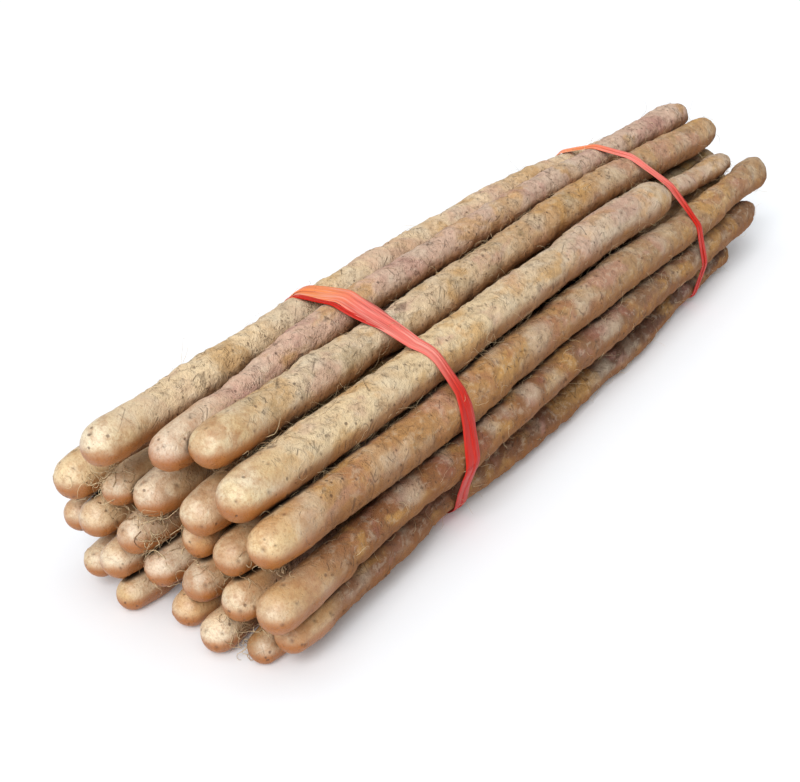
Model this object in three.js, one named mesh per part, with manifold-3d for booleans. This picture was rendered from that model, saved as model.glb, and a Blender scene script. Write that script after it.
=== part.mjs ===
// A bundle of long, slender yam tubers, laid side by side with their thick rounded ends together
// and held by two plastic tapes. Millimetres, +Z up, +X from the thick ends towards the thin necks.
import * as THREE from "three";
import { mergeVertices } from "three/addons/utils/BufferGeometryUtils.js";
import Module from "manifold-3d";

// ---- Driving dimensions -----------------------------------------------------------------------
const SPAN = 700; // from the rounded thick ends to the longest neck
const STATION_STEP = 50; // spacing of the sections where the tubers are settled against each other
const GAP = 0.5; // clearance kept between tubers, and between a tuber and a tape
const SIDES = 12; // facets round a tuber
const TIP_RINGS = 4; // rings on a rounded thick end
const NECK_RINGS = 3; // rings on a blunt neck
const SWELL_LENGTH = 110; // distance over which the thick end widens into the body
const NARROWS = [0.6, 0.98]; // shares of the length between which a body narrows to its neck
const NARROW_RINGS = 4; // rings where a body narrows within a short stretch
const NECK_DEPTH = 0.6; // depth of a blunt neck end, in neck radii, where no taper is given
const PRESS = 1.2; // how far a tuber's underside is flattened by the table
const RING_CLEAR = 8; // least distance from a ring on the body to the rings of an end

// How uneven a tuber is: its girth swells and thins along its length, and its section has lobes that
// twist along it. Sizes are shares of the radius, lengths are in mm, twist is in radians per mm.
const UNEVEN = {
  swell: 0.035,
  swellLength: [150, 270],
  lobe: 0.035,
  twist: 0.01,
};

// The tapes: where each crosses the bundle's middle, how far it leans per millimetre of height and
// per millimetre towards the right, its width, and the height of its knot.
const TAPES = [
  { name: "tape_front", x: 164, leanUp: 0.1, leanAcross: -0.024, width: 12, knotHeight: 70 },
  { name: "tape_back", x: 522, leanUp: -0.24, leanAcross: 0, width: 9, knotHeight: 54 },
];
const TAPE_THICK = 1.1;
const KNOT = { length: 15, width: 12, depth: 8 };
const TAIL = { width: 8, thick: 1, lengths: [46, 38], steps: 8, arch: 9, droop: 0.42 };
const ARC_POINTS = 40; // points round each tuber's section that a tape is drawn over
const LOOP_STEP = 4.5; // least length of a facet along a tape

// Sections of the body, along X, between which an outer tuber's course is given.
const COURSE_AT = [165, 400, 690];

// Each tuber: across (+ is right, seen from the thick ends), height and reach (+ is further back) of
// the centre of its rounded thick end, the radii of that end, of the body and of the neck, and how
// far its neck stops short of the span. taper: the depth of a pointed neck end, in neck radii.
// narrows: where it narrows, if not as NARROWS. course: an outer tuber's [across, height] at COURSE_AT.
// endsBy: the [across, height] that an inner tuber's neck tends to. lies: it lies on the table.
const TUBERS = [
  {
    name: "a", across: -32, height: 110, reach: -15, tip: 12.9, body: 13.2, neck: 9.5, short: 60,
    course: [[-34, 112], [-31, 111], [-21, 91]],
  },
  {
    name: "b", across: 0, height: 108, reach: 0, tip: 11.7, body: 11.1, neck: 12.4, short: 25,
    taper: 1.6, course: [[-8, 119], [-8, 117], [-1, 107]],
  },
  {
    name: "c", across: 22, height: 115, reach: 6, tip: 12.9, body: 13, neck: 14, short: 29,
    taper: 1.7, course: [[20, 107], [17, 110], [23, 98]],
  },
  {
    name: "d", across: 45, height: 94, reach: 0, tip: 13.7, body: 15, neck: 8.6, short: 38,
    taper: 1.2, narrows: [0.745, 0.775], course: [[48, 95], [44, 94], [44, 74]],
  },
  {
    name: "e", across: 64, height: 76, reach: -4, tip: 12.6, body: 14.3, neck: 12.2, short: 0,
    course: [[66, 73], [62, 72], [57, 59]],
  },
  {
    name: "f", across: 76, height: 45, reach: -14, tip: 12.4, body: 12, neck: 12, short: 30,
    taper: 3, course: [[69, 46], [71, 43], [66, 40]],
  },
  {
    name: "g", across: 74, height: 21, reach: 0, tip: 10.3, body: 10.6, neck: 8.4, short: 86,
    course: [[66, 19], [70, 15], [64, 16]],
  },
  { name: "h", across: -69, height: 70, reach: -1, tip: 13.0, body: 13.2, neck: 9.8, short: 70 },
  { name: "i", across: -41, height: 71, reach: 3, tip: 10.6, body: 12.4, neck: 9.2, short: 46 },
  { name: "j", across: -18, height: 73, reach: 4, tip: 12.0, body: 12.8, neck: 9.4, short: 42 },
  {
    name: "k", across: 19, height: 76, reach: -2, tip: 12.0, body: 12.8, neck: 9.6, short: 26,
    endsBy: [26, 75],
  },
  { name: "l", across: 11, height: 53, reach: 7, tip: 11.2, body: 12.2, neck: 9.0, short: 58 },
  {
    name: "m", across: 36, height: 54, reach: 2, tip: 11.6, body: 12.6, neck: 9.6, short: 30,
    endsBy: [35, 57],
  },
  { name: "n", across: -57, height: 49, reach: 0, tip: 11.6, body: 12.6, neck: 9.0, short: 54 },
  { name: "o", across: -77, height: 40, reach: 7, tip: 10.2, body: 11.8, neck: 8.8, short: 84 },
  { name: "p", across: -27, height: 48, reach: -4, tip: 10.9, body: 12.2, neck: 9.2, short: 36 },
  { name: "q", across: -60, height: 18, reach: 1, tip: 9.9, body: 11.8, neck: 8.6, short: 68 },
  { name: "r", across: -38, height: 30, reach: -6, tip: 10.7, body: 12.0, neck: 9.4, short: 62 },
  { name: "s", across: -15, height: 29, reach: 3, tip: 11.2, body: 12.4, neck: 9.2, short: 40 },
  { name: "t", across: -33, height: 10, reach: -4, tip: 10.0, body: 11.8, neck: 8.8, short: 50, lies: true },
  { name: "u", across: 13, height: 31, reach: 1, tip: 11.7, body: 12.6, neck: 9.6, short: 56 },
  { name: "v", across: 42, height: 32, reach: -3, tip: 11.6, body: 12.4, neck: 9.0, short: 48 },
  { name: "w", across: 5, height: 11, reach: 1, tip: 10.8, body: 12.0, neck: 9.4, short: 44, lies: true },
  { name: "x", across: 33, height: 11, reach: -9, tip: 11.1, body: 12.2, neck: 9.0, short: 66, lies: true },
  { name: "y", across: 57, height: 9, reach: -4, tip: 9.3, body: 11.6, neck: 8.8, short: 52, lies: true },
];
const MIDDLE = { across: 3, height: 62 }; // centre of the bundle's section
const CORE_HEIGHT = 50; // what the inner tubers are pulled towards: lower, by their weight

// How the bundle settles, in shares of the way moved at each round.
const SETTLE = {
  rounds: 700, // the last ones only keep the tubers apart
  lastRounds: 300,
  hold: 0.14, // towards a stated place
  pull: 0.02, // an inner tuber, towards the core
  weight: 2, // how far a lying tuber sinks at each round, in mm, where nothing is under it
  ease: 0.2, // towards a straight run between the stations on both sides
};

// ---- Helpers ----------------------------------------------------------------------------------
const smooth = (from, to, value) => THREE.MathUtils.smoothstep(value, from, to);
const lerp = THREE.MathUtils.lerp;

// A repeatable draw between 0 and 1 for each seed.
function draws(seed) {
  let state = seed >>> 0;
  return () => {
    state = (state + 0x6d2b79f5) >>> 0;
    let t = Math.imul(state ^ (state >>> 15), 1 | state);
    t = (t + Math.imul(t ^ (t >>> 7), 61 | t)) ^ t;
    return ((t ^ (t >>> 14)) >>> 0) / 4294967296;
  };
}

const stations = Array.from({ length: SPAN / STATION_STEP + 1 }, (_, k) => k * STATION_STEP);

// ---- One tuber's girth ------------------------------------------------------------------------
for (const [index, tuber] of TUBERS.entries()) {
  const draw = draws(101 + index * 17);
  tuber.start = tuber.reach - tuber.tip; // where the thick end begins
  tuber.end = SPAN - tuber.short;
  tuber.waves = [1, 2, 3].map((n) => ({
    length: lerp(...UNEVEN.swellLength, draw()) / n,
    phase: draw() * 2 * Math.PI,
    size: UNEVEN.swell / n,
  }));
  tuber.lobes = [2, 3].map((n) => ({
    count: n,
    twist: UNEVEN.twist * (2 * draw() - 1),
    phase: draw() * 2 * Math.PI,
    size: UNEVEN.lobe / n,
  }));
}

// Radius of the circle that a tuber's section stays inside, without its rounded ends.
function bodyRadius(tuber, x) {
  const length = tuber.end - tuber.start;
  const run = x - tuber.start;
  const swollen = lerp(tuber.tip, tuber.body, smooth(tuber.tip, SWELL_LENGTH, run));
  const narrowed = lerp(swollen, tuber.neck, smooth(...(tuber.narrows ?? NARROWS), run / length));
  const wave = tuber.waves.reduce(
    (sum, w) => sum + w.size * Math.sin((2 * Math.PI * run) / w.length + w.phase),
    0,
  );
  return narrowed * (1 + wave * smooth(tuber.tip, 3 * tuber.tip, run));
}

// How far from the end of the neck its rounding starts.
const neckDepth = (tuber) => tuber.neck * (tuber.taper ?? NECK_DEPTH);

// The same with the round thick end and the neck end, 0 past either.
function endedRadius(tuber, x) {
  if (x <= tuber.start || x >= tuber.end) return 0;
  const fromTip = Math.min(1, (x - tuber.start) / tuber.tip);
  const fromNeck = Math.min(1, (tuber.end - x) / neckDepth(tuber));
  const round = Math.sqrt(1 - (1 - fromTip) ** 2) * Math.sqrt(1 - (1 - fromNeck) ** 2);
  return bodyRadius(tuber, x) * round;
}

// The widest that a tuber is on the stretches of mesh within `reach` of x.
function widestNear(tuber, x, reach = 0.5 * STATION_STEP) {
  return Math.max(...[-1, -0.5, 0, 0.5, 1].map((share) => endedRadius(tuber, x + share * reach)));
}

// ---- Settling the bundle ----------------------------------------------------------------------
// Lowest place that a tuber's round underside may reach: a little into the table, which flattens it,
// or clear of the tape where one passes under.
function floorAt(x) {
  let floor = -PRESS;
  for (const tape of TAPES) {
    const under = tape.x - tape.leanUp * MIDDLE.height;
    const away = smooth(STATION_STEP, 1.8 * STATION_STEP, Math.abs(x - under));
    floor = Math.max(floor, lerp(TAPE_THICK + GAP + 0.1, -PRESS, away));
  }
  return floor;
}

// Where a tuber would lie at x if nothing pushed it, and how strongly it is held there.
function wantedPlace(tuber, x) {
  if (tuber.endsBy && x > COURSE_AT[1]) {
    const [across, height] = tuber.endsBy;
    return { y: -across, z: height, hold: smooth(COURSE_AT[1], COURSE_AT[2], x) };
  }
  const atTip = 1 - smooth(10, COURSE_AT[0], x);
  if (!tuber.course) return { y: -tuber.across, z: tuber.height, hold: atTip };
  const [first, middle, last] = tuber.course;
  const back = x > COURSE_AT[1];
  const [from, to] = back ? [middle, last] : [first, middle];
  const [fromX, toX] = back ? COURSE_AT.slice(1) : COURSE_AT;
  const share = THREE.MathUtils.clamp((x - fromX) / (toX - fromX), 0, 1);
  const across = lerp(lerp(from[0], to[0], share), tuber.across, atTip);
  return { y: -across, z: lerp(lerp(from[1], to[1], share), tuber.height, atTip), hold: 1 };
}

// Moves two tubers' places apart by equal steps, until the middles of the two lists of places are
// `apart` from each other.
function separate(ones, others, apart) {
  const middle = (list, axis) => list.reduce((sum, place) => sum + place[axis], 0) / list.length;
  const dy = middle(others, "y") - middle(ones, "y");
  const dz = middle(others, "z") - middle(ones, "z");
  const distance = Math.hypot(dy, dz);
  const push = (apart - distance) / 2;
  if (push <= 0) return;
  for (const place of ones) {
    place.y -= (dy / distance) * push;
    place.z -= (dz / distance) * push;
  }
  for (const place of others) {
    place.y += (dy / distance) * push;
    place.z += (dz / distance) * push;
  }
}

// A tuber's first course, slightly bowed, before it settles.
function firstCourse(tuber, index) {
  const draw = draws(977 + index * 31);
  const bow = { size: 3 + 3 * draw(), phase: draw() * 2 * Math.PI, turn: draw() * 2 * Math.PI };
  return stations.map((x) => {
    const want = wantedPlace(tuber, x);
    const side = bow.size * Math.sin((x / SPAN) * 5 + bow.phase) * smooth(0, COURSE_AT[0], x);
    return { y: want.y + side * Math.cos(bow.turn), z: want.z + side * Math.sin(bow.turn) };
  });
}

// Draws every place towards where it is wanted, and the inner tubers towards the core.
function drawIn(places) {
  TUBERS.forEach((tuber, i) =>
    stations.forEach((x, k) => {
      const place = places[i][k];
      const want = wantedPlace(tuber, x);
      const pull = tuber.course ? 0 : SETTLE.pull * smooth(0, COURSE_AT[0], x);
      const down = tuber.lies ? SETTLE.weight : 0;
      place.y += (want.y - place.y) * want.hold * SETTLE.hold + (-MIDDLE.across - place.y) * pull;
      place.z += (want.z - place.z) * want.hold * SETTLE.hold + (CORE_HEIGHT - place.z) * pull - down;
    }),
  );
}

// Takes some of the bend out of every course.
function straighten(places) {
  for (const line of places)
    for (let k = 1; k < line.length - 1; k++) {
      line[k].y += SETTLE.ease * ((line[k - 1].y + line[k + 1].y) / 2 - line[k].y);
      line[k].z += SETTLE.ease * ((line[k - 1].z + line[k + 1].z) / 2 - line[k].z);
    }
}

// Keeps the tubers clear of each other, at the stations and half way between them, and of what
// they lie on.
function keepApart(places, radius) {
  const lowest = (i, k) => floorAt(stations[k]) + radius[i][k];
  for (let k = 0; k < stations.length; k++) {
    for (let i = 0; i < TUBERS.length; i++)
      for (let j = i + 1; j < TUBERS.length; j++) {
        if (!radius[i][k] || !radius[j][k]) continue;
        const apart = radius[i][k] + radius[j][k] + GAP;
        separate([places[i][k]], [places[j][k]], apart);
        if (k + 1 === stations.length) continue;
        separate([places[i][k], places[i][k + 1]], [places[j][k], places[j][k + 1]], apart);
      }
    for (let i = 0; i < TUBERS.length; i++) places[i][k].z = Math.max(places[i][k].z, lowest(i, k));
  }
}

function settle() {
  const radius = TUBERS.map((tuber) => stations.map((x) => widestNear(tuber, x)));
  const places = TUBERS.map(firstCourse);
  for (let round = 0; round < SETTLE.rounds; round++) {
    if (round < SETTLE.rounds - SETTLE.lastRounds) {
      drawIn(places);
      straighten(places);
    }
    keepApart(places, radius);
  }
  return places;
}

const places = settle();

// The centre of a tuber's section at x. Before the first station the tuber runs straight along X.
function centreAt(index, x) {
  const at = THREE.MathUtils.clamp(x / STATION_STEP, 0, stations.length - 1);
  const k = Math.min(Math.floor(at), stations.length - 2);
  const [from, to] = [places[index][k], places[index][k + 1]];
  return { y: lerp(from.y, to.y, at - k), z: lerp(from.z, to.z, at - k) };
}

// ---- A tuber as a closed mesh -----------------------------------------------------------------
// Sections where the rings stand: close together on both ends, and at the stations between them.
function ringPlaces(tuber) {
  const depth = neckDepth(tuber);
  const inEnd = (n, rings) => 1 - Math.cos((n / rings) * (Math.PI / 2));
  const tip = Array.from({ length: TIP_RINGS }, (_, n) => inEnd(n + 1, TIP_RINGS) * tuber.tip);
  const neck = Array.from({ length: NECK_RINGS }, (_, n) => inEnd(n + 1, NECK_RINGS) * depth);
  const bodyStart = tuber.start + tuber.tip;
  const bodyEnd = tuber.end - depth;
  const between = stations.filter((x) => x > bodyStart + RING_CLEAR && x < bodyEnd - RING_CLEAR);
  const body = tuber.narrows ? withNarrowing(tuber, between) : between;
  return [...tip.map((d) => tuber.start + d), ...body, ...neck.reverse().map((d) => tuber.end - d)];
}

// The stations of a tuber with close rings added where its body narrows.
function withNarrowing(tuber, between) {
  const [from, to] = tuber.narrows.map((share) => lerp(tuber.start, tuber.end, share));
  const close = Array.from({ length: NARROW_RINGS }, (_, n) => lerp(from, to, n / (NARROW_RINGS - 1)));
  const clear = between.filter((x) => x < from - RING_CLEAR || x > to + RING_CLEAR);
  return [...clear, ...close].sort((a, b) => a - b);
}

// Rings round the tuber's course, closed by a point at each end.
function tuberGeometry(tuber, index) {
  const points = [];
  const faces = [];
  const add = (x, y, z) => points.push(x, y, Math.max(0, z)); // flattened by the table
  const rings = ringPlaces(tuber);
  for (const x of rings) {
    const centre = centreAt(index, x);
    const radius = endedRadius(tuber, x);
    for (let side = 0; side < SIDES; side++) {
      const angle = ((side + 0.5) / SIDES) * 2 * Math.PI;
      const dent = tuber.lobes.reduce(
        (sum, l) => sum + l.size * (1 + Math.sin(l.count * angle + l.twist * x + l.phase)),
        0,
      );
      const r = radius * (1 - dent);
      add(x, centre.y + r * Math.cos(angle), centre.z + r * Math.sin(angle));
    }
  }
  const ends = [tuber.start, tuber.end].map((x) => {
    const centre = centreAt(index, x);
    add(x, centre.y, centre.z);
    return points.length / 3 - 1;
  });
  for (let side = 0; side < SIDES; side++) {
    const next = (side + 1) % SIDES;
    for (let ring = 0; ring < rings.length - 1; ring++) {
      const a = ring * SIDES + side;
      const b = ring * SIDES + next;
      faces.push(a, b, b + SIDES, a, b + SIDES, a + SIDES);
    }
    const last = (rings.length - 1) * SIDES;
    faces.push(ends[0], next, side, ends[1], last + side, last + next);
  }
  return closedGeometry(points, faces);
}

function closedGeometry(points, faces) {
  const geometry = new THREE.BufferGeometry();
  geometry.setAttribute("position", new THREE.Float32BufferAttribute(points, 3));
  geometry.setIndex(faces);
  geometry.computeVertexNormals();
  return geometry;
}

// ---- The tapes --------------------------------------------------------------------------------
// The closed line, in Y and Z, of a tape drawn tight round every tuber's section at the tape, and
// the X where the leaning tape crosses each point of it.
function tightLoop(tape) {
  const crossing = (p) => tape.x + tape.leanUp * (p.z - MIDDLE.height) - tape.leanAcross * p.y;
  const points = [];
  TUBERS.forEach((tuber, i) => {
    let x = tape.x;
    for (let pass = 0; pass < 4; pass++) x = crossing(centreAt(i, x));
    const reach = tuber.narrows && Math.max(RING_CLEAR, tape.width / 2);
    const radius = widestNear(tuber, x, reach) + GAP;
    for (const edge of [-1, 0, 1]) {
      const centre = centreAt(i, x + (edge * tape.width) / 2);
      for (let n = 0; n < ARC_POINTS; n++) {
        const angle = (n / ARC_POINTS) * 2 * Math.PI;
        points.push({
          y: centre.y + radius * Math.cos(angle),
          z: centre.z + radius * Math.sin(angle),
        });
      }
    }
  });
  return { line: evenLoop(convexHull(points), LOOP_STEP), crossing };
}

function convexHull(points) {
  const sorted = [...points].sort((p, q) => p.y - q.y || p.z - q.z);
  const turn = (a, b, c) => (b.y - a.y) * (c.z - a.z) - (b.z - a.z) * (c.y - a.y);
  const half = (list) => {
    const chain = [];
    for (const p of list) {
      while (chain.length > 1 && turn(chain.at(-2), chain.at(-1), p) <= 1e-9) chain.pop();
      chain.push(p);
    }
    return chain.slice(0, -1);
  };
  return [...half(sorted), ...half(sorted.reverse())];
}

// Drops the points that are closer than `step` to the one before.
function evenLoop(loop, step) {
  const kept = [loop[0]];
  for (const p of loop.slice(1)) {
    const last = kept.at(-1);
    if (Math.hypot(p.y - last.y, p.z - last.z) >= step) kept.push(p);
  }
  return kept;
}

// Outward direction of the loop at each of its points, square to the run through them.
function outward(line, n) {
  const before = line[(n + line.length - 1) % line.length];
  const after = line[(n + 1) % line.length];
  const dy = after.y - before.y;
  const dz = after.z - before.z;
  const size = Math.hypot(dy, dz);
  return { y: dz / size, z: -dy / size };
}

// The tape's section, [along X, outwards], as shares of its half width and thickness.
const TAPE_SECTION = [
  [-1, 0],
  [1, 0],
  [1, 0.55],
  [0.45, 1],
  [-0.35, 0.8],
  [-1, 0.6],
];

function bandGeometry(tape, line, crossing) {
  const points = [];
  const faces = [];
  const count = TAPE_SECTION.length;
  line.forEach((p, n) => {
    const out = outward(line, n);
    // the band gathers into a narrower strand down the bundle's sides
    const half = (tape.width / 2) * lerp(0.72, 1, smooth(0.2, 0.9, Math.abs(out.z)));
    for (const [along, up] of TAPE_SECTION) {
      const y = p.y + out.y * TAPE_THICK * up;
      const z = Math.max(0, p.z + out.z * TAPE_THICK * up);
      points.push(crossing(p) + along * half, y, z);
    }
  });
  for (let n = 0; n < line.length; n++)
    for (let corner = 0; corner < count; corner++) {
      const next = (corner + 1) % count;
      const a = n * count + corner;
      const b = n * count + next;
      const ahead = ((n + 1) % line.length) * count;
      faces.push(a, b, ahead + next, a, ahead + next, ahead + corner);
    }
  return closedGeometry(points, faces);
}

// A flat strip of tape that leaves the knot along X and droops away from the bundle.
function tailGeometry(length, way) {
  const points = [];
  const faces = [];
  const { width, thick, steps, arch, droop } = TAIL;
  for (let n = 0; n <= steps; n++) {
    const run = n / steps;
    const x = way * run * length * (1 - 0.18 * run);
    const out = KNOT.depth * 0.3 + arch * Math.sin(run * 2.2);
    const down = -droop * length * run * run;
    const half = (width / 2) * lerp(0.6, 1, run);
    const tip = run === 1 ? 0.5 * way * width : 0;
    points.push(x + tip, out, down + half, x, out, down - half);
    points.push(x, out + thick, down - half, x + tip, out + thick, down + half);
  }
  for (let n = 0; n < steps; n++)
    for (let corner = 0; corner < 4; corner++) {
      const a = n * 4 + corner;
      const b = n * 4 + ((corner + 1) % 4);
      faces.push(a, b, b + 4, a, b + 4, a + 4);
    }
  faces.push(0, 3, 2, 0, 2, 1);
  const last = steps * 4;
  faces.push(last, last + 1, last + 2, last, last + 2, last + 3);
  if (way < 0) faces.reverse(); // the strip runs the other way, so its faces turn round
  return closedGeometry(points, faces);
}

// A rounded lump with three folds.
function knotGeometry() {
  const lump = new THREE.SphereGeometry(1, 14, 10);
  const at = lump.getAttribute("position");
  for (let n = 0; n < at.count; n++) {
    const p = new THREE.Vector3().fromBufferAttribute(at, n);
    const pinch = 1 - 0.22 * Math.cos(3 * Math.atan2(p.z, p.x)) * (1 - p.y * p.y);
    p.x *= (pinch * KNOT.length) / 2;
    p.y *= KNOT.depth / 2;
    p.z *= (pinch * KNOT.width) / 2;
    at.setXYZ(n, p.x, p.y, p.z);
  }
  return lump;
}

// ---- Joining with manifold-3d -----------------------------------------------------------------
const wasm = await Module();
wasm.setup();

function solidFrom(geometry) {
  const bare = geometry.clone();
  bare.deleteAttribute("normal");
  bare.deleteAttribute("uv");
  const merged = mergeVertices(bare, 1e-4);
  return new wasm.Manifold(
    new wasm.Mesh({
      numProp: 3,
      vertProperties: merged.getAttribute("position").array,
      triVerts: new Uint32Array(merged.index.array),
    }),
  );
}

function geometryFrom(solid) {
  const mesh = solid.getMesh();
  return closedGeometry(Array.from(mesh.vertProperties), Array.from(mesh.triVerts));
}

// The tape with its knot and two tails, on the bundle's left side.
function tapeGeometry(tape) {
  const { line, crossing } = tightLoop(tape);
  let joined = solidFrom(bandGeometry(tape, line, crossing));
  const side = sidePoint(line, tape.knotHeight);
  const place = new THREE.Matrix4()
    .makeTranslation(crossing(side), side.y, side.z)
    .multiply(new THREE.Matrix4().makeRotationX(side.lean))
    .multiply(new THREE.Matrix4().makeTranslation(0, KNOT.depth / 2, 0));
  const pieces = [knotGeometry(), tailGeometry(TAIL.lengths[0], 1), tailGeometry(TAIL.lengths[1], -1)];
  for (const piece of pieces) joined = joined.add(solidFrom(piece.applyMatrix4(place)));
  return geometryFrom(joined);
}

// Where the loop's +Y side is at a height, and how far its face leans back from upright.
function sidePoint(line, height) {
  for (let n = 0; n < line.length; n++) {
    const a = line[n];
    const b = line[(n + 1) % line.length];
    const crosses = (a.z - height) * (b.z - height) <= 0 && a.z !== b.z;
    if (!crosses || (a.y + b.y) / 2 < -MIDDLE.across) continue;
    const share = (height - a.z) / (b.z - a.z);
    return { y: lerp(a.y, b.y, share), z: height, lean: Math.atan2(a.y - b.y, b.z - a.z) };
  }
  throw new Error("the tape's loop doesn't reach the knot's height");
}

// ---- Materials --------------------------------------------------------------------------------
function skinMaterial(index) {
  const draw = draws(41 + index * 7);
  const tone = new THREE.Color(0xc29a66).offsetHSL((draw() - 0.5) * 0.02, 0, (draw() - 0.5) * 0.06);
  return new THREE.MeshStandardMaterial({ color: tone, roughness: 0.82, metalness: 0 });
}

function tapeMaterial() {
  return new THREE.MeshStandardMaterial({
    color: 0xd8453a,
    roughness: 0.38,
    metalness: 0,
    side: THREE.DoubleSide,
  });
}

// ---- The bundle -------------------------------------------------------------------------------
const bundle = new THREE.Group();
TUBERS.forEach((tuber, index) => {
  const mesh = new THREE.Mesh(tuberGeometry(tuber, index), skinMaterial(index));
  mesh.name = `tuber_${tuber.name}`;
  bundle.add(mesh);
});
for (const tape of TAPES) {
  const mesh = new THREE.Mesh(tapeGeometry(tape), tapeMaterial());
  mesh.name = tape.name;
  bundle.add(mesh);
}

// The frame's origin is on the table, under the middle of the bundle.
const size = new THREE.Box3().setFromObject(bundle, true);
bundle.position.set(-(size.min.x + size.max.x) / 2, -(size.min.y + size.max.y) / 2, -size.min.z);

export default bundle;
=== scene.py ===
"""A tied bundle of yam tubers: fine skins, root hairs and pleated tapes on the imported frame.

Lengths are in metres unless a name says mm. +X runs from the thick rounded ends to the thin necks,
and seen from the thick ends -Y is on the right.
"""
import math
from types import SimpleNamespace

import bpy
import numpy as np
from mathutils import Euler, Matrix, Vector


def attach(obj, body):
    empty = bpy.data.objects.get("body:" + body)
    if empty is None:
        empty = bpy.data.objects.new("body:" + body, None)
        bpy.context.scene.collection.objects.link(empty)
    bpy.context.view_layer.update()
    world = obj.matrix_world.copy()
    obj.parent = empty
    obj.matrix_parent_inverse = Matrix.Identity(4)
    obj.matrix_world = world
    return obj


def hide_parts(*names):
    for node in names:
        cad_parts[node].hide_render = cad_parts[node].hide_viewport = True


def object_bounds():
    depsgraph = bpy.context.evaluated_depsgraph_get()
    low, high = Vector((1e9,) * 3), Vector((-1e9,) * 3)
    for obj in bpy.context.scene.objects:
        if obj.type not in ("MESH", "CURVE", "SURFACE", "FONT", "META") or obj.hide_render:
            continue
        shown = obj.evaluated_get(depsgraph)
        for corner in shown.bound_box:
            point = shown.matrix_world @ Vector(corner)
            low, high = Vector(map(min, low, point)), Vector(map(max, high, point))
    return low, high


MM = 0.001
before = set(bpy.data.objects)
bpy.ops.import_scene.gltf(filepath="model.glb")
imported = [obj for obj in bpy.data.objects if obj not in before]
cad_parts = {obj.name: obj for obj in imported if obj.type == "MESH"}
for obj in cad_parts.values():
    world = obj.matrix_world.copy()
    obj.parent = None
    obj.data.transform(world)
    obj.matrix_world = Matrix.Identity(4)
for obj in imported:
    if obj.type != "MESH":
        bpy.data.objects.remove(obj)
cad_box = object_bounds()

# ---- Camera -----------------------------------------------------------------------------------
FRAME_WIDTH_PX = 800
FOCAL_PX = 1503
SENSOR_MM = 36
CAMERA_AT = (-0.8392, -0.4576, 0.4963)
CAMERA_DOWN = math.radians(27.9)
CAMERA_TURN = math.radians(32.2)  # from +X towards +Y


def add_camera():
    """The camera that was fitted to the photograph."""
    data = bpy.data.cameras.new("camera")
    data.sensor_width = SENSOR_MM
    data.lens = FOCAL_PX / FRAME_WIDTH_PX * SENSOR_MM
    camera = bpy.data.objects.new("camera", data)
    camera.location = CAMERA_AT
    camera.rotation_euler = Euler((math.pi / 2 - CAMERA_DOWN, 0, CAMERA_TURN - math.pi / 2))
    bpy.context.scene.collection.objects.link(camera)
    bpy.context.scene.camera = camera


add_camera()

# ---- What each tuber looks like ---------------------------------------------------------------
# Colours are sRGB: of the smooth thick end, left unmixed at its very tip as a painted highlight, the
# body's near and far halves, and its blotches.
PLAIN_BODY = ("b6906a", "a6805c", "96644e")
PLAIN = ("e2c8a2", *PLAIN_BODY)
TINTS = {
    # a: its own colours, painted lighter as light on its side that faces away from the lamps
    "a": ("f0e0bc", "ecd2aa", "e6caa6", "cfa97e"),
    "b": ("ceaa92", "dab69e", "d2b29c", "a8746a"),
    "c": ("e8d6ae", "e2c8a4", "be966a", "8c7850"),
    "d": ("e6d4aa", "e6cca2", "ceb498", "cc9450"),
    # e, f and g: their own colours, painted darker as shade on the flanks that face away from the lamps
    "e": ("e6ca9c", "b88854", "ae8a62", "a0624c"),
    "f": ("cca87c", "8e5c34", "8a6444", "8e4c46"),
    "g": ("cca478", "865838", "66442e", "6c4434"),
    "h": ("e8d0a6", "b08c64", "a8825a", "a8784e"),
    "i": ("d8be9c", "a68e6c", "a0825e", "8c7a5c"),
    "j": ("f0dcbc", "ab8a62", "a0805c", "a0764c"),
    "k": ("e8d4ae", "b0925f", "a08454", "98804c"),
    "l": ("d0a068", *PLAIN_BODY),
    "p": ("c9a582", "a48464", "9c7c5c", "98706a"),
    "q": ("d9be90", *PLAIN_BODY),
    "s": ("e4c8ac", "a48664", "9c7c5c", "98706a"),
    "t": ("d2ac72", *PLAIN_BODY),
    "u": ("c8ae8f", "a48468", "9c7c5c", "946c68"),
    "w": ("deb888", "a48058", "987450", "9a6c4c"),
    "x": ("f0dab8", "b08a64", "a07a58", "96644e"),
    # y: its own colours, with its thick end painted darker as the shadow that it lies in
    "y": ("a8835a", *PLAIN_BODY),
}
GOLD = "c8a068"  # the thick end, but for its very tip, which keeps the paler tip colour as a painted highlight
RIPE_AND_SHADE = "a8621f"  # the thick end's warm tone in patches and pores, and its painted shade underneath
UNDERSIDE_SHADE = "925a22"  # painted shade on the body's underside
PALE = "eadcc2"  # loose dry flakes
OCHRE = "c89854"
ROSY = "c08c80"
BARK = "735138"
DARK = "4a2c18"  # cracks, specks and scars
GAP_SHADE = "21150d"  # painted shade where two skins meet
STRAW, ROOT = "e8d2a8", "8f6a44"

# ---- Fineness ---------------------------------------------------------------------------------
SHOWN = "abcdefg"  # tubers whose whole bodies show
NEAR_RUN = 0.16  # the other tubers show over this much of their length
FINE = {"step": 1.7 * MM, "sides": 76}
COARSE = {"step": 6 * MM, "sides": 32}
TIP_STEP = 0.9 * MM
NECK_STEP = 1.5 * TIP_STEP
END_RUN = 14 * MM  # how much of each end has the closer rings

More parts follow.
